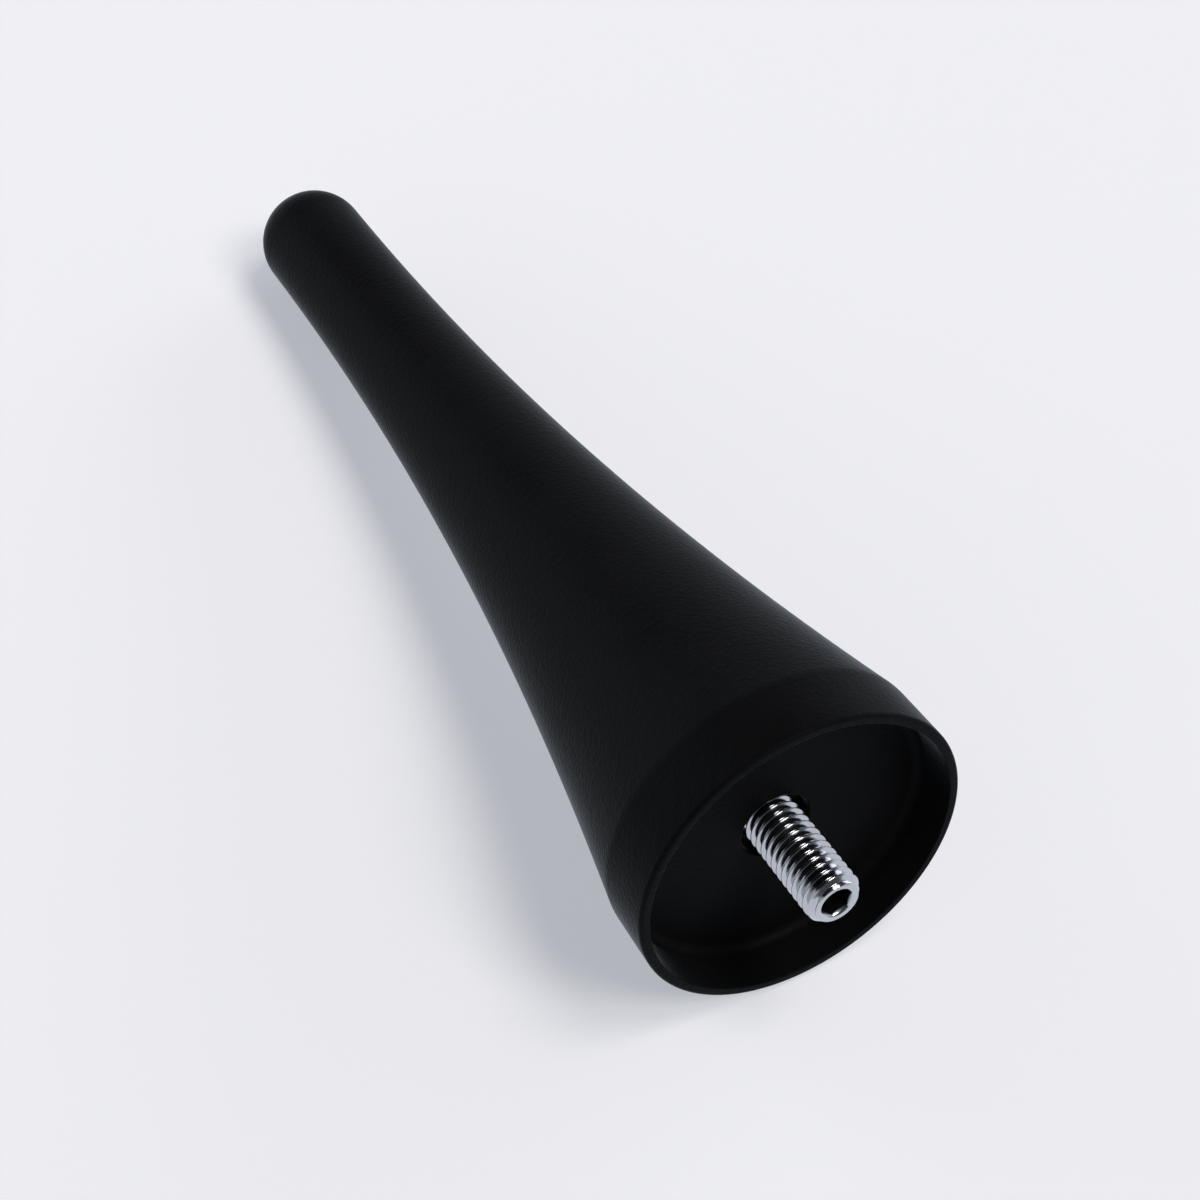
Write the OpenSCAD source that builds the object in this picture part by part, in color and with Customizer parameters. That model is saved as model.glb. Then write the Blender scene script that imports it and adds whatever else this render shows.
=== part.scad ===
// Short screw-in mast aerial for a vehicle.
// A one-piece moulded cover, flared like a trumpet and cupped underneath,
// closes over a wound radiator that stands on a threaded metal insert.
// A hex-socket stud screwed into the insert fixes the aerial to its base.
// Origin: on the mast's axis, in the plane of the cup's rim. +Z runs to the tip.
// Millimetres.

/* [Cover] */
// Length of the moulded cover, rim to tip
cover_len = 103.5; // [95:0.5:140]
// Outside diameter at the rim
rim_d = 30; // [29.6:0.2:36]
// Outside diameter at the crease above the collar
crease_d = 29.7; // [29:0.1:30]
// Height of the collar band, rim to crease
collar_h = 6; // [4:0.5:10]
// Diameter of the round tip
tip_d = 10.9; // [10.4:0.1:13]
// Power of the flare's curve: 1 is a straight cone, more is a deeper sweep
flare_power = 2.06; // [1.6:0.02:2.6]

/* [Cup] */
// Diameter of the cup's mouth, inside the lip
cup_d = 28.2; // [24:0.2:28.4]
// Depth of the cup's floor above the rim
cup_depth = 4.3; // [3:0.1:5]
// How much narrower the cup's wall gets from mouth to floor, across the diameter
cup_draft = 0.4; // [0:0.1:1]
// Radius of the fillet between the wall and the floor
cup_fillet = 1; // [0.4:0.1:1.6]
// Radius of the lip's outer edge
lip_outer_r = 0.35; // [0.1:0.05:0.4]
// Radius of the lip's inner edge
lip_inner_r = 0.15; // [0.05:0.05:0.3]
// Diameter of the recess round the stud's root
recess_d = 6.4; // [6.2:0.1:8]
// Depth of that recess below the cup's floor
recess_depth = 1.5; // [0.5:0.1:2]

/* [Stud] */
// Major diameter of the stud's thread
stud_d = 5; // [5:1:6]
// Pitch of the stud's thread
stud_pitch = 0.8; // [0.5:0.05:1]
// Whole length of the stud
stud_len = 16; // [14:1:18]
// How far the stud stands out past the rim
stud_out = 5.2; // [4:0.1:6]
// Chamfer on the stud's ends, along the axis
stud_chamfer = 0.65; // [0.3:0.05:0.8]
// Hex socket in the free end, across flats
socket_af = 2.5; // [1.5:0.5:3]
// Depth of the hex socket
socket_depth = 3; // [2:0.25:4]
// Turn of the socket's corners from the X axis, degrees
socket_turn = 30; // [0:5:55]

/* [Insert] */
// Diameter of the insert's flange and back ring
insert_d = 9; // [8.6:0.1:10]
// Insert's hex section across flats, which stops it turning
insert_af = 8; // [7.4:0.1:8.4]
// Thickness of the flange
flange_t = 2; // [1:0.25:3]
// Length of the hex section
hex_len = 5; // [4:0.5:7]
// Width of the groove the cover is locked in
groove_w = 1.5; // [1:0.25:2.5]
// Diameter at the bottom of that groove
groove_d = 6.8; // [6.6:0.1:7.4]
// Length of the back ring
ring_len = 4.5; // [4:0.5:7]
// Length of the neck that the lowest turns are wound on
neck_len = 4; // [3:0.5:6]

/* [Radiator] */
// Diameter of the coil's wire
wire_d = 0.8; // [0.6:0.1:0.9]
// Diameter of the rod the coil is wound on
former_d = 4; // [3.6:0.1:4.2]
// Diameter of the rod's spigot in the insert
spigot_d = 2.4; // [2:0.1:2.8]
// Length of that spigot
spigot_len = 6; // [4:0.5:6]
// Wall of the sleeve shrunk over the coil
sleeve_t = 0.6; // [0.3:0.1:0.7]
// Solid length of the cover above the rod
tip_solid = 9.5; // [8:0.5:14]

/* [Hidden] */
$fn = 96;
rim_r = rim_d / 2;
crease_r = crease_d / 2;
tip_r = tip_d / 2;
cup_r = cup_d / 2;
floor_r = cup_r - cup_draft / 2;
// height where the flare meets the round tip
dome_z = cover_len - tip_r;
// pitch diameter of a 60 degree thread: the engaged threads are drawn here
pitch_r = (stud_d - 0.6495 * stud_pitch) / 2;
stud_face_r = stud_d / 2 - stud_chamfer * 0.85;
// stations of the insert, from its outer face up
ins_0 = cup_depth + recess_depth;
ins_1 = ins_0 + flange_t;
ins_2 = ins_1 + hex_len;
ins_3 = ins_2 + groove_w;
ins_4 = ins_3 + ring_len;
ins_5 = ins_4 + neck_len;
stud_top = stud_len - stud_out;
bore_top = stud_top + 1.5;
rod_top = cover_len - tip_solid;
// whole turns that fit between the insert's back ring and the rod's top
turns = floor((rod_top - 1.5 - ins_4) / wire_d);
coil_top = ins_4 + turns * wire_d;
coil_r = former_d / 2 + wire_d;
sleeve_r = coil_r + sleeve_t;
over = 1;

// points on an arc, in degrees
function arc(cx, cz, r, a0, a1, n) =
    [for (i = [0:n]) let (a = a0 + (a1 - a0) * i / n) [cx + r * cos(a), cz + r * sin(a)]];

// radius of the cover's outside above the crease
function flare_r(z) =
    tip_r + (crease_r - tip_r) * pow(max(0, (dome_z - z) / (dome_z - collar_h)), flare_power);

flare_n = 44;
// closer together near the collar, where the curve is strongest
function flare_z(i) = collar_h + (dome_z - collar_h) * pow(i / flare_n, 1.15);

// half section of the cover's outside, from the axis at the rim plane to the tip
cover_outline = concat(
    [[0, 0]],
    arc(rim_r - lip_outer_r, lip_outer_r, lip_outer_r, -90, 0, 6),
    [for (i = [0:flare_n]) [flare_r(flare_z(i)), flare_z(i)]],
    [for (i = [1:15]) [tip_r * cos(90 * i / 16), dome_z + tip_r * sin(90 * i / 16)]],
    [[0, cover_len]]);

// half section of the cup: lip, drafted wall, fillet, floor, recess
cup_outline = concat(
    [[0, -over], [cup_r + lip_inner_r, -over]],
    arc(cup_r + lip_inner_r, lip_inner_r, lip_inner_r, 270, 180, 4),
    arc(floor_r - cup_fillet, cup_depth - cup_fillet, cup_fillet, 0, 90, 8),
    [[recess_d / 2 + 0.2, cup_depth], [recess_d / 2, cup_depth + 0.2], [recess_d / 2, ins_0], [0, ins_0]]);

// outside of the insert, solid; the cover is moulded round this shape
module insert_solid() {
    translate([0, 0, ins_0]) cylinder(h = flange_t, d = insert_d);
    translate([0, 0, ins_1]) cylinder(h = hex_len, d = insert_af / cos(30), $fn = 6);
    translate([0, 0, ins_2]) cylinder(h = groove_w, d = groove_d);
    translate([0, 0, ins_3]) cylinder(h = ring_len, d = insert_d);
}

// outside of the sleeved radiator, solid; closes on the rod above the last turn
module sleeve_solid() {
    rotate_extrude()
        polygon([[0, ins_4], [sleeve_r, ins_4], [sleeve_r, coil_top],
                 [former_d / 2 + sleeve_t, coil_top + 0.8], [former_d / 2 + sleeve_t, rod_top], [0, rod_top]]);
}

module mast_cover() {
    color([0.09, 0.09, 0.1])
    difference() {
        rotate_extrude() polygon(cover_outline);
        rotate_extrude() polygon(cup_outline);
        insert_solid();
        sleeve_solid();
    }
}

module mounting_stud() {
    color([0.75, 0.76, 0.78])
    difference() {
        rotate_extrude()
            polygon([[0, -stud_out], [stud_face_r, -stud_out],
                     [stud_d / 2, stud_chamfer - stud_out], [stud_d / 2, ins_0],
                     [pitch_r, ins_0], [pitch_r, stud_top - 0.5],
                     [pitch_r - 0.5, stud_top], [0, stud_top]]);
        // hex socket with a drill point behind it and a small countersink at its mouth
        translate([0, 0, -stud_out - over]) rotate([0, 0, socket_turn])
            cylinder(h = socket_depth + over, d = socket_af / cos(30), $fn = 6);
        rotate_extrude()
            polygon([[0, -stud_out - over], [socket_af / 2 + 0.27, -stud_out - over], [socket_af / 2 + 0.27, -stud_out],
                     [socket_af / 2 - 0.05, -stud_out + 0.32], [socket_af / 2 - 0.05, socket_depth - stud_out],
                     [0, socket_depth - stud_out + socket_af * 0.25]]);
    }
}

module threaded_insert() {
    color([0.3, 0.25, 0.17])
    difference() {
        union() {
            insert_solid();
            translate([0, 0, ins_4]) cylinder(h = neck_len, d = former_d);
        }
        // tapped hole with its drill point
        rotate_extrude()
            polygon([[0, ins_0 - over], [pitch_r, ins_0 - over], [pitch_r, bore_top], [0, bore_top + pitch_r * 0.6]]);
        translate([0, 0, ins_5 - spigot_len]) cylinder(h = spigot_len + over, d = spigot_d);
    }
}

module coil_former() {
    color([0.86, 0.84, 0.74])
    rotate_extrude()
        polygon([[0, ins_5 - spigot_len], [spigot_d / 2, ins_5 - spigot_len], [spigot_d / 2, ins_5],
                 [former_d / 2, ins_5], [former_d / 2, rod_top], [0, rod_top]]);
}

// close-wound coil: every turn touches the next, so its section is a row of round crests
module aerial_coil() {
    color([0.72, 0.36, 0.18])
    rotate_extrude()
        polygon(concat(
            [[former_d / 2, ins_4]],
            [for (k = [0:turns - 1], a = [-60:60:60])
                [former_d / 2 + wire_d / 2 + wire_d / 2 * cos(a), ins_4 + (k + 0.5) * wire_d + wire_d / 2 * sin(a)]],
            [[former_d / 2, coil_top]]));
}

module coil_sleeve() {
    color([0.16, 0.16, 0.17])
    difference() {
        sleeve_solid();
        rotate_extrude()
            polygon([[0, ins_4 - over], [coil_r, ins_4 - over], [coil_r, coil_top],
                     [former_d / 2, coil_top + 0.8], [former_d / 2, rod_top + over], [0, rod_top + over]]);
    }
}

mast_cover();
mounting_stud();
threaded_insert();
coil_former();
aerial_coil();
coil_sleeve();
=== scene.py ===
"""Looks of a short screw-in mast aerial, built around its CAD frame. Metres; +Z runs from the cup's rim to the tip."""
import math

import bmesh
import bpy
from mathutils import Matrix, Vector


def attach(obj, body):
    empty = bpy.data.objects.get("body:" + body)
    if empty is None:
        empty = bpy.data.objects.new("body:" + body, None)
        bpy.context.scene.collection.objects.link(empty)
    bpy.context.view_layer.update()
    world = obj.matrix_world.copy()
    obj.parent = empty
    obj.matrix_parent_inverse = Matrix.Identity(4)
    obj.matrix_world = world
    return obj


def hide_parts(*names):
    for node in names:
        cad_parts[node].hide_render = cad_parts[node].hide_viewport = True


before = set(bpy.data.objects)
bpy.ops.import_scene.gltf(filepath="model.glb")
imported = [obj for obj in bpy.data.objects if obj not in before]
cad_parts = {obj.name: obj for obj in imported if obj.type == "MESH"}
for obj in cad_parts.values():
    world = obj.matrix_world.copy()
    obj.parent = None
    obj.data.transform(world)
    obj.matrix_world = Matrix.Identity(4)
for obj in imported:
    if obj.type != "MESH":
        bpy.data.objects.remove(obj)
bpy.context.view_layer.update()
MM = 0.001
TAU = 2 * math.pi

# ---------------------------------------------------------------- sizes, in mm, as in the CAD frame
RIM_R, CREASE_R, COLLAR_H, TIP_R, LEN, POWER = 15.0, 14.85, 6.0, 5.45, 103.5, 2.06
DOME_Z = LEN - TIP_R
CUP_R, FLOOR_R, CUP_Z, FILLET = 14.1, 13.9, 4.3, 1.0
LIP_OUT, LIP_IN = 0.35, 0.08
RECESS_R, INS_0 = 3.2, 5.8
INS_1, INS_2, INS_3, INS_4, INS_5 = 7.8, 12.8, 14.3, 18.8, 22.8
STUD_R, PITCH, STUD_OUT, STUD_TOP, SOCKET_TURN = 2.5, 0.8, 5.2, 10.8, math.radians(30)
WIRE, FORMER_R, TURNS = 0.8, 2.0, 92
COIL_TOP = INS_4 + TURNS * WIRE
ROD_TOP = 94.0
SLEEVE_R, SLEEVE_T = 3.4, 0.6


def flare(z):
    u = max(0.0, (DOME_Z - z) / (DOME_Z - COLLAR_H))
    return TIP_R + (CREASE_R - TIP_R) * u ** POWER


def arc(cx, cz, r, a0, a1, n):
    return [(cx + r * math.cos(math.radians(a0 + (a1 - a0) * i / n)),
             cz + r * math.sin(math.radians(a0 + (a1 - a0) * i / n))) for i in range(n + 1)]


# ---------------------------------------------------------------- mesh tools
def new_object(name, verts, faces, smooth_angle=35):
    me = bpy.data.meshes.new(name)
    me.from_pydata([tuple(c * MM for c in v) for v in verts], [], faces)
    me.validate()
    bm = bmesh.new()
    bm.from_mesh(me)
    bmesh.ops.remove_doubles(bm, verts=bm.verts, dist=1e-8)
    bmesh.ops.recalc_face_normals(bm, faces=bm.faces)
    limit = math.radians(smooth_angle)
    for e in bm.edges:
        if len(e.link_faces) == 2 and e.calc_face_angle(0) > limit:
            e.smooth = False
    for f in bm.faces:
        f.smooth = True
    bm.to_mesh(me)
    bm.free()
    ob = bpy.data.objects.new(name, me)
    bpy.context.scene.collection.objects.link(ob)
    return ob


def lathe(name, rings, n=192, smooth_angle=35):
    """A closed or open revolve. rings: (r, z) or (function of the angle, z). A radius of 0 closes to a point."""
    verts, rows, faces = [], [], []
    for r, z in rings:
        if not callable(r) and r <= 1e-9:
            rows.append([len(verts)])
            verts.append((0, 0, z))
            continue
        rows.append(list(range(len(verts), len(verts) + n)))
        for i in range(n):
            t = TAU * i / n
            q = r(t) if callable(r) else r
            verts.append((q * math.cos(t), q * math.sin(t), z))
    for a, b in zip(rows, rows[1:]):
        if len(a) == 1 and len(b) == 1:
            continue
        for i in range(n):
            j = (i + 1) % n
            if len(a) == 1:
                faces.append((a[0], b[j], b[i]))
            elif len(b) == 1:
                faces.append((a[i], a[j], b[0]))
            else:
                faces.append((a[i], a[j], b[j], b[i]))
    return new_object(name, verts, faces, smooth_angle)


def hexagon(af, turn=0.0):
    return lambda t: (af / 2) / math.cos((t - turn) % (math.pi / 3) - math.pi / 6)


# ---------------------------------------------------------------- the cover
def cover_rings():
    out = [(0, LEN)]
    out += [(TIP_R * math.cos(math.radians(a)), DOME_Z + TIP_R * math.sin(math.radians(a)))
            for a in [90 - 90 * i / 28 for i in range(1, 29)]]
    z_hi, n = DOME_Z, 110
    for i in range(1, n + 1):
        z = COLLAR_H + 0.5 + (z_hi - COLLAR_H - 0.5) * (1 - i / n) ** 1.1
        out.append((flare(z), z))
    # a small round at the crease, then the collar down to the lip
    for i in range(1, 8):
        u = i / 8
        a, c, b = (flare(COLLAR_H + 0.5), COLLAR_H + 0.5), (CREASE_R + 0.012, COLLAR_H), (CREASE_R + 0.0135, COLLAR_H - 0.5)
        out.append(tuple((1 - u) ** 2 * a[k] + 2 * u * (1 - u) * c[k] + u * u * b[k] for k in (0, 1)))
    for i in range(0, 7):
        z = COLLAR_H - 0.5 - (COLLAR_H - 0.5 - LIP_OUT - 0.02) * i / 6
        out.append((CREASE_R + (RIM_R - CREASE_R) * (1 - (z - LIP_OUT) / (COLLAR_H - LIP_OUT)), z))
    out += arc(RIM_R - LIP_OUT, LIP_OUT, LIP_OUT, 0, -90, 10)
    out += arc(CUP_R + LIP_IN, LIP_IN, LIP_IN, 270, 180, 6)
    for i in range(1, 6):
        u = i / 6
        out.append((CUP_R + (FLOOR_R - CUP_R) * u, LIP_IN + (CUP_Z - FILLET - LIP_IN) * u))
    out += arc(FLOOR_R - FILLET, CUP_Z - FILLET, FILLET, 0, 90, 12)
    out += [(11.5, CUP_Z), (9.5, CUP_Z), (7.0, CUP_Z), (5.0, CUP_Z)]
    out += arc(RECESS_R + 0.22, CUP_Z + 0.22, 0.22, 270, 180, 6)
    out += [(RECESS_R, 5.0), (RECESS_R, INS_0)]
    # the pockets that the insert and the sleeved coil fill
    out += [(4.5, INS_0), (4.5, INS_1), (hexagon(8.0), INS_1), (hexagon(8.0), INS_2), (3.4, INS_2), (3.4, INS_3),
            (4.5, INS_3), (4.5, INS_4), (SLEEVE_R, INS_4), (SLEEVE_R, COIL_TOP),
            (FORMER_R + SLEEVE_T, COIL_TOP + 0.8), (FORMER_R + SLEEVE_T, ROD_TOP), (0, ROD_TOP)]
    return out


cover = lathe("cover", cover_rings(), n=240, smooth_angle=28)


# ---------------------------------------------------------------- the stud: a real right-handed M5 x 0.8 thread
def soft(v, w):
    """max(0, v) with its corner rounded over 2 w."""
    return 0.0 if v <= -w else v if v >= w else (v + w) ** 2 / (4 * w)


def thread_r(d):
    """Radius at an axial distance d from the crest's middle: a narrow crest, 60 degree flanks, a round root."""
    depth = 0.6134 * PITCH
    drop = soft(abs(d) - PITCH / 16, 0.035) / math.tan(math.radians(30))
    return STUD_R - depth + soft(depth - drop, 0.06)


def stud_mesh():
    # the rows of the mesh follow the thread: one turn of a row rises by one pitch
    n = 144
    lo, hi = -STUD_OUT, STUD_TOP
    steps = [-0.4, -0.372, -0.345, -0.318, -0.285, -0.2, -0.13, -0.095, -0.07, -0.045, -0.02, 0.02, 0.045, 0.07, 0.095, 0.13, 0.2, 0.285, 0.318, 0.345, 0.372]
    m, z0 = len(steps), -8 * PITCH
    face_r, cham = 1.95, 0.65
    verts, faces, ring = [], [], []
    for k in range(22 * m):
        row = []
        for i in range(n):
            t = TAU * i / n
            z = z0 + PITCH * (i / n + k // m + 0.5) + steps[k % m]
            z = min(max(z, lo), hi)
            r = min(thread_r(steps[k % m]), face_r + (z - lo) * (STUD_R - face_r) / cham, 1.72 + (hi - z) * 1.0)
            row.append(len(verts))
            verts.append((r * math.cos(t), r * math.sin(t), z))
        ring.append(row)
    top = len(ring) - 1
    for k in range(top):
        for i in range(n - 1):
            faces.append((ring[k][i], ring[k][i + 1], ring[k + 1][i + 1], ring[k + 1][i]))
        faces.append((ring[k][n - 1], ring[min(k + m, top)][0], ring[min(k + 1 + m, top)][0], ring[k + 1][n - 1]))
    c = len(verts)
    verts.append((0, 0, hi))
    faces += [(ring[-1][i], ring[-1][(i + 1) % n], c) for i in range(n)]
    # free end: rounded outer edge, flat ring, countersink, hex socket, drill point
    def loop(fr, z):
        row = list(range(len(verts), len(verts) + n))
        for i in range(n):
            t = TAU * i / n
            r = fr(t) if callable(fr) else fr
            verts.append((r * math.cos(t), r * math.sin(t), z))
        return row
    hx = hexagon(2.5, SOCKET_TURN)
    inner = [
        loop(1.90, lo - 0.0),
        loop(1.62, lo),
        loop(lambda t: max(hx(t), 1.53), lo + 0.03),
        loop(lambda t: max(hx(t), 1.40), lo + 0.14),
        loop(lambda t: max(hx(t), 1.25), lo + 0.32),
        loop(hx, lo + 0.40),
        loop(hx, lo + 3.0),
        loop(1.2, lo + 3.02),
    ]
    last = ring[0]
    for row in inner:
        for i in range(n):
            j = (i + 1) % n
            faces.append((last[j], last[i], row[i], row[j]))
        last = row
    c = len(verts)
    verts.append((0, 0, lo + 3.6))
    faces += [(last[(i + 1) % n], last[i], c) for i in range(n)]
    return new_object("stud", verts, faces, 50)


stud = stud_mesh()

# ---------------------------------------------------------------- the insert, knurled on its ring, with its bore
def knurl(r, depth, count, twist, z):
    def f(t):
        a = abs(((t * count / TAU + z * twist) % 1.0) - 0.5) * 2
        b = abs(((t * count / TAU - z * twist) % 1.0) - 0.5) * 2
        return r - depth * max(0.0, 1 - 1.6 * min(a, b))
    return f


def insert_rings():
    c = 0.15
    out = [(0, 14.4), (2.0, 13.3), (2.52, 12.3), (2.52, INS_0 + 0.05), (2.57, INS_0), (4.5 - c, INS_0), (4.5, INS_0 + c), (4.5, INS_1 - c), (4.5 - c, INS_1)]
    out += [(hexagon(8.0), INS_1), (hexagon(8.0), INS_2), (3.4, INS_2), (3.4, INS_3), (4.5 - c, INS_3), (4.5, INS_3 + c)]
    steps = 26
    for i in range(steps + 1):
        z = INS_3 + 0.3 + (INS_4 - INS_3 - 0.6) * i / steps
        out.append((knurl(4.5, 0.16, 40, 0.9, z), z))
    out += [(4.5, INS_4 - c), (4.5 - c, INS_4), (FORMER_R, INS_4), (FORMER_R, INS_5 - 0.1), (FORMER_R - 0.1, INS_5), (1.2, INS_5), (1.2, INS_5 - 6), (0, INS_5 - 6)]
    return out


insert = lathe("insert", insert_rings(), n=240, smooth_angle=25)

# ---------------------------------------------------------------- former, sleeve
former = lathe("former", [(0, INS_5 - 6), (1.1, INS_5 - 6), (1.2, INS_5 - 5.9), (1.2, INS_5), (FORMER_R - 0.05, INS_5), (FORMER_R, INS_5 + 0.05),
                          (FORMER_R, 40), (FORMER_R, 60), (FORMER_R, 80), (FORMER_R, ROD_TOP - 0.15), (FORMER_R - 0.15, ROD_TOP), (0, ROD_TOP)], n=96)


def sleeve_rings():
    out, n = [], 4 * TURNS
    lo, hi = INS_4, COIL_TOP
    out.append((FORMER_R + WIRE + 0.005, lo))
    out.append((SLEEVE_R, lo))
    for i in range(1, n):                                      # the turns show faintly through the shrunk wall
        z = lo + (hi - lo) * i / n
        out.append((SLEEVE_R - 0.02 * (0.5 - 0.5 * math.cos(TAU * (z - lo) / WIRE)), z))
    out += [(SLEEVE_R, hi), (FORMER_R + SLEEVE_T, hi + 0.8), (FORMER_R + SLEEVE_T, ROD_TOP), (FORMER_R, ROD_TOP), (FORMER_R, hi + 0.8), (FORMER_R + WIRE + 0.005, hi), (FORMER_R + WIRE + 0.005, lo)]
    return out


sleeve = lathe("sleeve", sleeve_rings(), n=72, smooth_angle=35)


# ---------------------------------------------------------------- the coil: one wire wound turn on turn
def coil_mesh():
    per, sides, rw = 28, 10, WIRE / 2 - 0.004
    mid = FORMER_R + WIRE / 2
    lo, hi = INS_4 + WIRE / 2, COIL_TOP - WIRE / 2
    turns = (hi - lo) / WIRE
    count = int(turns * per)
    verts, faces = [], []
    for i in range(count + 1):
        t = TAU * i / per
        z = lo + (hi - lo) * i / count
        c, s = math.cos(t), math.sin(t)
        for k in range(sides):
            a = TAU * k / sides
            r = mid + rw * math.cos(a)
            verts.append((r * c, r * s, z + rw * math.sin(a)))
    for i in range(count):
        for k in range(sides):
            m = (k + 1) % sides
            faces.append((i * sides + k, i * sides + m, (i + 1) * sides + m, (i + 1) * sides + k))
    for i in (0, count):
        faces.append([i * sides + k for k in (range(sides) if i else range(sides - 1, -1, -1))])
    return new_object("coil", verts, faces, 60)


coil = coil_mesh()

# ---------------------------------------------------------------- materials
def material(name):
    m = bpy.data.materials.new(name)
    m.use_nodes = True
    t = m.node_tree
    t.nodes.clear()
    out = t.nodes.new("ShaderNodeOutputMaterial")
    b = t.nodes.new("ShaderNodeBsdfPrincipled")
    t.links.new(b.outputs[0], out.inputs[0])
    co = t.nodes.new("ShaderNodeTexCoord")
    return m, t, b, co.outputs["Object"]


def noise(t, co, scale, detail=4, rough=0.5, distortion=0.0):
    n = t.nodes.new("ShaderNodeTexNoise")
    n.inputs["Scale"].default_value = scale
    n.inputs["Detail"].default_value = detail
    n.inputs["Roughness"].default_value = rough
    n.inputs["Distortion"].default_value = distortion
    t.links.new(co, n.inputs["Vector"])
    return n.outputs["Fac"]


def ramp(t, fac, stops):
    r = t.nodes.new("ShaderNodeValToRGB")
    e = r.color_ramp.elements
    while len(e) < len(stops):
        e.new(0.5)
    for i, (p, c) in enumerate(stops):
        e[i].position = p
        e[i].color = (*c, 1) if len(c) == 3 else c
    t.links.new(fac, r.inputs[0])
    return r.outputs["Color"]


def remap(t, fac, lo, hi, a=0.0, b=1.0):
    r = t.nodes.new("ShaderNodeMapRange")
    r.inputs["From Min"].default_value = a
    r.inputs["From Max"].default_value = b
    r.inputs["To Min"].default_value = lo
    r.inputs["To Max"].default_value = hi
    t.links.new(fac, r.inputs["Value"])
    return r.outputs["Result"]


def math_node(t, op, a, b=None):
    n = t.nodes.new("ShaderNodeMath")
    n.operation = op
    for i, v in enumerate((a, b)):
        if v is None:
            continue
        if isinstance(v, (int, float)):
            n.inputs[i].default_value = v
        else:
            t.links.new(v, n.inputs[i])
    return n.outputs[0]


def bump(t, height, distance, strength=1.0, normal=None):
    b = t.nodes.new("ShaderNodeBump")
    b.inputs["Distance"].default_value = distance
    b.inputs["Strength"].default_value = strength
    t.links.new(height, b.inputs["Height"])
    if normal is not None:
        t.links.new(normal, b.inputs["Normal"])
    return b.outputs["Normal"]


def voronoi(t, co, scale, feature="F1", randomness=1.0):
    n = t.nodes.new("ShaderNodeTexVoronoi")
    n.feature = feature
    n.inputs["Scale"].default_value = scale
    n.inputs["Randomness"].default_value = randomness
    t.links.new(co, n.inputs["Vector"])
    return n.outputs["Distance"]


def make_cover_material():
    m, t, b, co = material("moulded_black")
    cloud = noise(t, co, 90, 4, 0.55)
    pebble = voronoi(t, co, 2500)
    grain = noise(t, co, 5200, 3, 0.55)
    b.inputs["IOR"].default_value = 1.5
    b.inputs["Specular IOR Level"].default_value = 0.03
    b.inputs["Specular Tint"].default_value = (0.84, 0.92, 1.0, 1)
    b.inputs["Sheen Weight"].default_value = 0.42
    b.inputs["Sheen Roughness"].default_value = 0.22
    b.inputs["Sheen Tint"].default_value = (0.82, 0.91, 1.0, 1)
    t.links.new(ramp(t, cloud, [(0.3, (0.00245, 0.00250, 0.00265)), (0.7, (0.00490, 0.00500, 0.00530))]), b.inputs["Base Color"])
    t.links.new(remap(t, cloud, 0.47, 0.55, 0.3, 0.7), b.inputs["Roughness"])
    n1 = bump(t, pebble, 0.00005, 0.55)
    n2 = bump(t, grain, 0.00002, 0.6, n1)
    t.links.new(n2, b.inputs["Normal"])
    return m


def make_stud_material():
    m, t, b, co = material("nickel_steel")
    b.inputs["Metallic"].default_value = 1.0
    cloud = noise(t, co, 260, 4, 0.6)
    fine = noise(t, co, 2600, 3, 0.6)
    # the broached socket gets painted shade, a near-black colour, and a rougher finish: a mask by the distance from
    # the axis and from the end
    xyz = t.nodes.new("ShaderNodeSeparateXYZ")
    t.links.new(co, xyz.inputs[0])
    rr = math_node(t, "SQRT", math_node(t, "ADD", math_node(t, "MULTIPLY", xyz.outputs[0], xyz.outputs[0]), math_node(t, "MULTIPLY", xyz.outputs[1], xyz.outputs[1])))
    socket_shade_mask = math_node(t, "MULTIPLY", remap(t, rr, 1.0, 0.0, 0.00146, 0.00154), remap(t, xyz.outputs[2], 0.0, 1.0, -0.00512, -0.00485))
    bright = ramp(t, cloud, [(0.3, (0.50, 0.51, 0.54)), (0.7, (0.60, 0.61, 0.64))])
    socket_painted_shade = ramp(t, fine, [(0.3, (0.035, 0.035, 0.037)), (0.7, (0.06, 0.06, 0.063))])
    both = t.nodes.new("ShaderNodeMix")
    both.data_type = "RGBA"
    t.links.new(socket_shade_mask, both.inputs["Factor"])
    t.links.new(bright, both.inputs[6])
    t.links.new(socket_painted_shade, both.inputs[7])
    t.links.new(both.outputs[2], b.inputs["Base Color"])
    t.links.new(math_node(t, "ADD", remap(t, cloud, 0.11, 0.17, 0.3, 0.7), math_node(t, "MULTIPLY", socket_shade_mask, 0.25)), b.inputs["Roughness"])
    t.links.new(bump(t, fine, 0.000006, 0.5), b.inputs["Normal"])
    return m


def make_insert_material():
    m, t, b, co = material("blackened_brass_and_painted_shade")
    b.inputs["Metallic"].default_value = 1.0
    cloud = noise(t, co, 300, 4, 0.6)
    w = t.nodes.new("ShaderNodeTexWave")
    w.wave_type, w.bands_direction = "BANDS", "Z"
    w.inputs["Scale"].default_value = 900
    w.inputs["Distortion"].default_value = 0.6
    t.links.new(co, w.inputs["Vector"])
    # a near-black tone: partly a blackened finish, partly painted shade that keeps the recess round the stud's root
    # dark
    t.links.new(ramp(t, cloud, [(0.3, (0.012, 0.0105, 0.0085)), (0.7, (0.028, 0.024, 0.019))]), b.inputs["Base Color"])
    t.links.new(remap(t, cloud, 0.3, 0.45, 0.3, 0.7), b.inputs["Roughness"])
    t.links.new(bump(t, w.outputs["Fac"], 0.000008, 0.6), b.inputs["Normal"])
    return m


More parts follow.
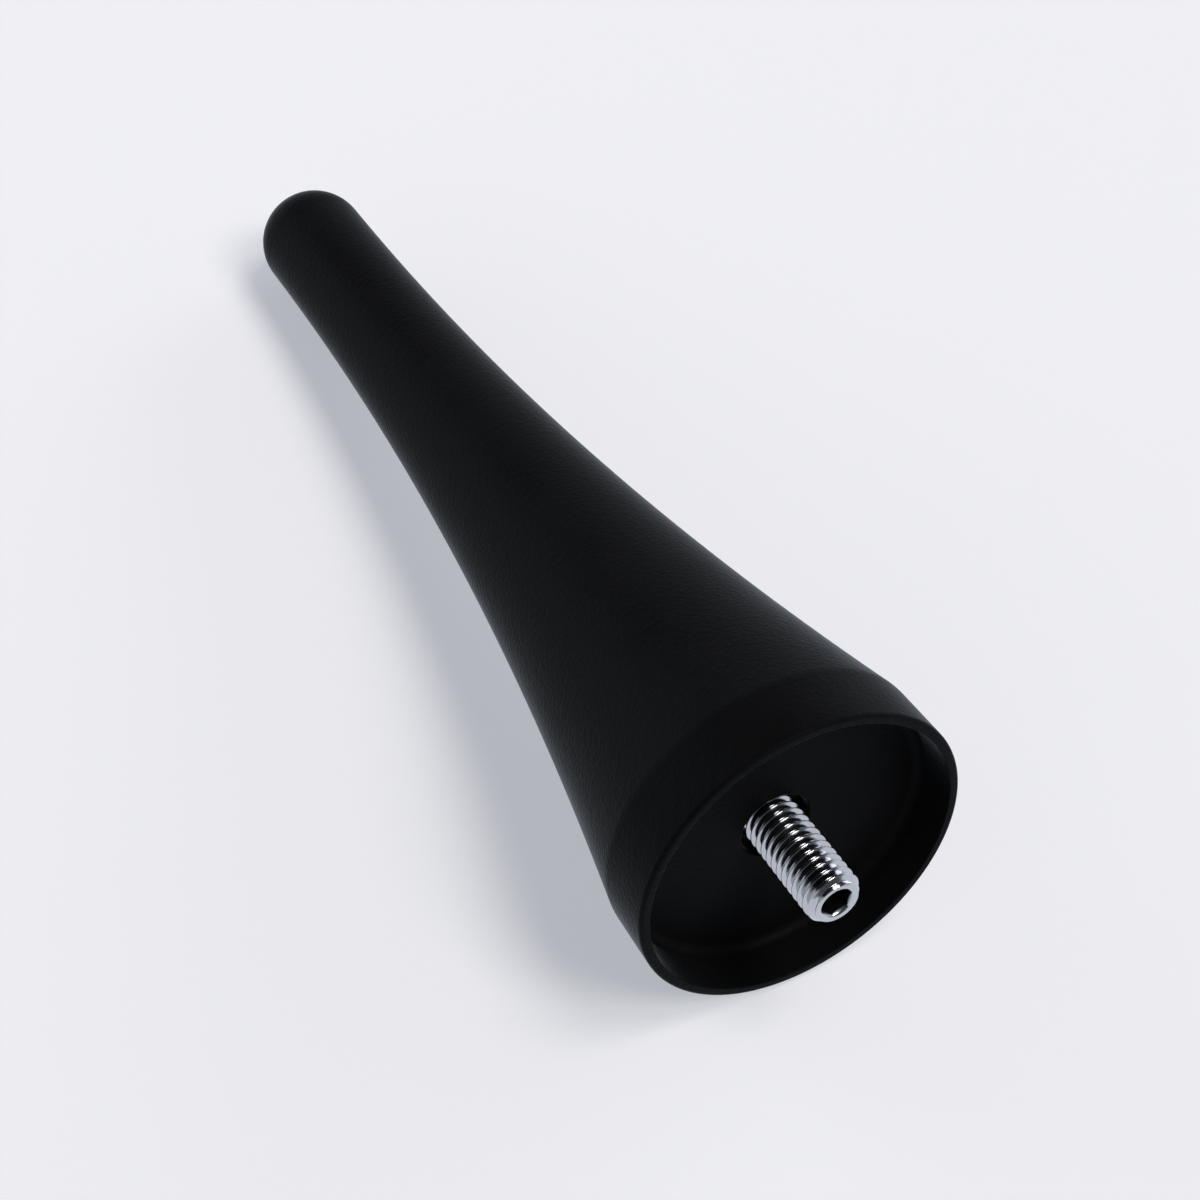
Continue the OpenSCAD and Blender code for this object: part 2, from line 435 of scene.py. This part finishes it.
def make_coil_material():
    m, t, b, co = material("enamelled_copper")
    b.inputs["Metallic"].default_value = 1.0
    cloud = noise(t, co, 400, 4, 0.6)
    t.links.new(ramp(t, cloud, [(0.3, (0.42, 0.14, 0.05)), (0.7, (0.60, 0.23, 0.09))]), b.inputs["Base Color"])
    t.links.new(remap(t, cloud, 0.22, 0.34, 0.3, 0.7), b.inputs["Roughness"])
    b.inputs["Coat Weight"].default_value = 0.6
    b.inputs["Coat Roughness"].default_value = 0.12
    return m


def make_former_material():
    m, t, b, co = material("glass_fibre_rod")
    mp = t.nodes.new("ShaderNodeMapping")
    mp.inputs["Scale"].default_value = (1, 1, 0.04)
    t.links.new(co, mp.inputs["Vector"])
    fibre = noise(t, mp.outputs[0], 6000, 3, 0.6)
    t.links.new(ramp(t, fibre, [(0.3, (0.60, 0.55, 0.38)), (0.7, (0.78, 0.74, 0.58))]), b.inputs["Base Color"])
    t.links.new(remap(t, fibre, 0.35, 0.5, 0.3, 0.7), b.inputs["Roughness"])
    t.links.new(bump(t, fibre, 0.00001, 0.5), b.inputs["Normal"])
    return m


def make_sleeve_material():
    m, t, b, co = material("shrunk_sleeve")
    cloud = noise(t, co, 500, 4, 0.6)
    t.links.new(ramp(t, cloud, [(0.3, (0.012, 0.012, 0.013)), (0.7, (0.02, 0.02, 0.022))]), b.inputs["Base Color"])
    t.links.new(remap(t, cloud, 0.36, 0.5, 0.3, 0.7), b.inputs["Roughness"])
    t.links.new(bump(t, noise(t, co, 1800, 3), 0.00001, 0.5), b.inputs["Normal"])
    return m


for ob, node, slot, make in (
    (cover, "mast_cover", "cover", make_cover_material),
    (stud, "mounting_stud", "stud", make_stud_material),
    (insert, "threaded_insert", "insert", make_insert_material),
    (former, "coil_former", "former", make_former_material),
    (coil, "aerial_coil", "coil", make_coil_material),
    (sleeve, "coil_sleeve", "sleeve", make_sleeve_material),
):
    ob.data.materials.append(make())
    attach(ob, "root")
    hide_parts(node)

# ---------------------------------------------------------------- where it lies: a plane that touches the crease and the tip
LOW_RINGS = [(r, z) for r, z in cover_rings() if not callable(r) and z < 60]


def support(k):
    c = math.sqrt(1 - k * k)
    return max(r * c + k * z for r, z in LOW_RINGS), TIP_R + k * DOME_Z


lo, hi = 0.0, 0.3
for _ in range(60):
    k = (lo + hi) / 2
    rim, tip = support(k)
    lo, hi = (k, hi) if rim > tip else (lo, k)
H0 = support(k)[0] * MM
LEAN = k
SIDE = math.radians(-45)                                        # the way up from the plane, seen along the mast
UP = Vector((math.sqrt(1 - k * k) * math.cos(SIDE), math.sqrt(1 - k * k) * math.sin(SIDE), -k))

# ---------------------------------------------------------------- camera: a 78 mm lens on a 36 mm square frame
AXIS = Vector((-0.4720, -0.5965, 0.64916)).normalized()         # the mast's axis, seen by the camera: right, down, forward
RIM_AT = Vector((1.0921, 1.3971, 13.963)) * RIM_R * MM           # the rim's centre, seen by the camera
FOCAL = 78.0
# the camera is level, so the plane's up is (0, -cos p, -sin p) there; p makes the mast lie on the plane
lo, hi = math.radians(20), math.radians(80)
for _ in range(60):
    p = (lo + hi) / 2
    dip = -AXIS.y * math.cos(p) - AXIS.z * math.sin(p)
    lo, hi = (p, hi) if dip > -LEAN else (lo, p)
up_cam = Vector((0, -math.cos(p), -math.sin(p)))
side_cam = (up_cam - AXIS * up_cam.dot(AXIS)).normalized()
third_cam = AXIS.cross(side_cam)
ex = math.cos(SIDE) * side_cam - math.sin(SIDE) * third_cam
ey = math.sin(SIDE) * side_cam + math.cos(SIDE) * third_cam
to_cam = Matrix((ex, ey, AXIS)).transposed()                    # row frame to camera frame: right, down, forward
back = to_cam.transposed()
cam_data = bpy.data.cameras.new("camera")
cam_data.lens, cam_data.sensor_width, cam_data.sensor_fit = FOCAL, 36.0, "AUTO"
cam_data.clip_start, cam_data.clip_end = 0.01, 20
cam = bpy.data.objects.new("camera", cam_data)
bpy.context.scene.collection.objects.link(cam)
place = -(back @ RIM_AT)
turn = Matrix((back @ Vector((1, 0, 0)), back @ Vector((0, -1, 0)), back @ Vector((0, 0, -1)))).transposed()
cam.matrix_world = Matrix.Translation(place) @ turn.to_4x4()
bpy.context.scene.camera = cam

# ---------------------------------------------------------------- floor
def plane_object(name, size, n):
    t1 = UP.cross(Vector((0, 0, 1))).normalized()
    t2 = UP.cross(t1).normalized()
    o = -UP * (H0 + 0.00001)
    vs = [o + t1 * (size * (i / n - 0.5)) + t2 * (size * (j / n - 0.5)) for j in range(n + 1) for i in range(n + 1)]
    me = bpy.data.meshes.new(name)
    me.from_pydata([tuple(v) for v in vs], [], [(j * (n + 1) + i, j * (n + 1) + i + 1, (j + 1) * (n + 1) + i + 1, (j + 1) * (n + 1) + i) for j in range(n) for i in range(n)])
    if me.polygons[0].normal.dot(UP) < 0:
        me.flip_normals()
    ob = bpy.data.objects.new(name, me)
    bpy.context.scene.collection.objects.link(ob)
    return ob


floor = plane_object("floor", 3.0, 2)
fm = bpy.data.materials.new("pale_floor")
fm.use_nodes = True
ft = fm.node_tree
ft.nodes.clear()
f_out = ft.nodes.new("ShaderNodeOutputMaterial")
f_mix = ft.nodes.new("ShaderNodeMixShader")
f_geo = ft.nodes.new("ShaderNodeNewGeometry")
f_dif = ft.nodes.new("ShaderNodeBsdfDiffuse")
f_see = ft.nodes.new("ShaderNodeBsdfTransparent")
f_dif.inputs["Color"].default_value = (0.647, 0.632, 0.631, 1)
f_glow = ft.nodes.new("ShaderNodeEmission")                      # a lit sheet: part of its tone is its own light, so shadows stay soft and pale
f_glow.inputs["Color"].default_value = (0.947, 0.984, 1.069, 1)
f_glow.inputs["Strength"].default_value = 0.395
f_add = ft.nodes.new("ShaderNodeAddShader")
ft.links.new(f_dif.outputs[0], f_add.inputs[0])
ft.links.new(f_glow.outputs[0], f_add.inputs[1])
# the plane shows its face only; from below, and to the light that fills the underside, it is open
f_ray = ft.nodes.new("ShaderNodeLightPath")
f_open = ft.nodes.new("ShaderNodeMath")
f_open.operation = "SUBTRACT"
f_open.inputs[0].default_value = 1.0
ft.links.new(f_ray.outputs["Is Camera Ray"], f_open.inputs[1])
f_max = ft.nodes.new("ShaderNodeMath")
f_max.operation = "MAXIMUM"
ft.links.new(f_open.outputs[0], f_max.inputs[0])
ft.links.new(f_geo.outputs["Backfacing"], f_max.inputs[1])
ft.links.new(f_max.outputs[0], f_mix.inputs[0])
ft.links.new(f_add.outputs[0], f_mix.inputs[1])
ft.links.new(f_see.outputs[0], f_mix.inputs[2])
ft.links.new(f_mix.outputs[0], f_out.inputs[0])
floor.data.materials.append(fm)

# ---------------------------------------------------------------- light
def from_camera(x, y, z):
    """A direction given as the camera sees it (right, up, towards the camera), in the row frame."""
    return (back @ Vector((x, -y, -z))).normalized()


def sun(name, toward, strength, angle, color=(1, 1, 1)):
    d = bpy.data.lights.new(name, "SUN")
    d.energy, d.angle, d.color = strength, math.radians(angle), color
    o = bpy.data.objects.new(name, d)
    o.rotation_euler = Vector(toward).to_track_quat("Z", "Y").to_euler()
    bpy.context.scene.collection.objects.link(o)
    return o


def level(az, el):
    """A direction from its bearing round the plane's up (0 away from the camera, 90 to its right) and its height."""
    fwd = from_camera(0, 0, -1)
    fwd = (fwd - UP * fwd.dot(UP)).normalized()
    right = fwd.cross(UP).normalized()
    a, e = math.radians(az), math.radians(el)
    return (fwd * math.cos(a) + right * math.sin(a)) * math.cos(e) + UP * math.sin(e)


WARM, COOL = (1.02, 1.0, 0.985), (0.945, 0.983, 1.075)
sun("key_low", level(126, 50), 1.08, 22, WARM)                  # two halves of one wide soft light
sun("key_high", level(92, 68), 0.896, 22, WARM)
sun("rim_left", level(300, 16), 0.32, 36, COOL)
sun("rim_right", level(45, 12), 0.66, 36, COOL)

ROOM_LOW, ROOM_MID, ROOM_TOP, ROOM_UNDER, ROOM_FRONT = 0.8 / 8, 0.02 / 8, 0.02 / 8, 0.84 / 8, 0.1
world = bpy.data.worlds.new("world")
world.use_nodes = True
wt = world.node_tree
wt.nodes.clear()
w_out = wt.nodes.new("ShaderNodeOutputWorld")
w_mix = wt.nodes.new("ShaderNodeMixShader")
w_ray = wt.nodes.new("ShaderNodeLightPath")
w_lit = wt.nodes.new("ShaderNodeBackground")
w_seen = wt.nodes.new("ShaderNodeBackground")
# the room: bright low down all round, except in front of the stud, and dark above, as dark overhead as in the middle
w_co = wt.nodes.new("ShaderNodeTexCoord")


def toward(v):
    n = wt.nodes.new("ShaderNodeVectorMath")
    n.operation = "DOT_PRODUCT"
    n.inputs[1].default_value = tuple(v)
    wt.links.new(w_co.outputs["Generated"], n.inputs[0])
    return n.outputs["Value"]


room = ramp(wt, toward(UP), [(0.0, (ROOM_UNDER,) * 3), (0.005, (ROOM_LOW,) * 3), (0.40, (ROOM_LOW,) * 3), (0.56, (ROOM_MID,) * 3), (0.88, (ROOM_MID,) * 3), (0.97, (ROOM_TOP,) * 3)])
front = remap(wt, toward(level(144, 0)), 1.0, ROOM_FRONT, 0.35, 0.9)
under = remap(wt, toward(UP), 1.0, 0.0, -0.005, 0.005)          # the light from below is the same all round
w_max = wt.nodes.new("ShaderNodeMath")
w_max.operation = "MAXIMUM"
wt.links.new(front, w_max.inputs[0])
wt.links.new(under, w_max.inputs[1])
w_mul = wt.nodes.new("ShaderNodeMath")
w_mul.operation = "MULTIPLY"
wt.links.new(room, w_mul.inputs[0])
wt.links.new(w_max.outputs[0], w_mul.inputs[1])
w_amp = wt.nodes.new("ShaderNodeMath")
w_amp.operation = "MULTIPLY"
w_amp.inputs[1].default_value = 8.0
wt.links.new(w_mul.outputs[0], w_amp.inputs[0])
w_lit.inputs["Color"].default_value = (0.947, 0.984, 1.069, 1)
wt.links.new(w_amp.outputs[0], w_lit.inputs["Strength"])
w_seen.inputs["Color"].default_value = (0.831, 0.838, 0.871, 1)
w_seen.inputs["Strength"].default_value = 1.0
wt.links.new(w_ray.outputs["Is Camera Ray"], w_mix.inputs[0])
wt.links.new(w_lit.outputs[0], w_mix.inputs[1])
wt.links.new(w_seen.outputs[0], w_mix.inputs[2])
wt.links.new(w_mix.outputs[0], w_out.inputs[0])
bpy.context.scene.world = world
bpy.context.scene.view_settings.view_transform = "Standard"
bpy.context.scene.view_settings.look = "None"
bpy.context.scene.view_settings.exposure = 0.0
bpy.context.scene.view_settings.gamma = 1.0
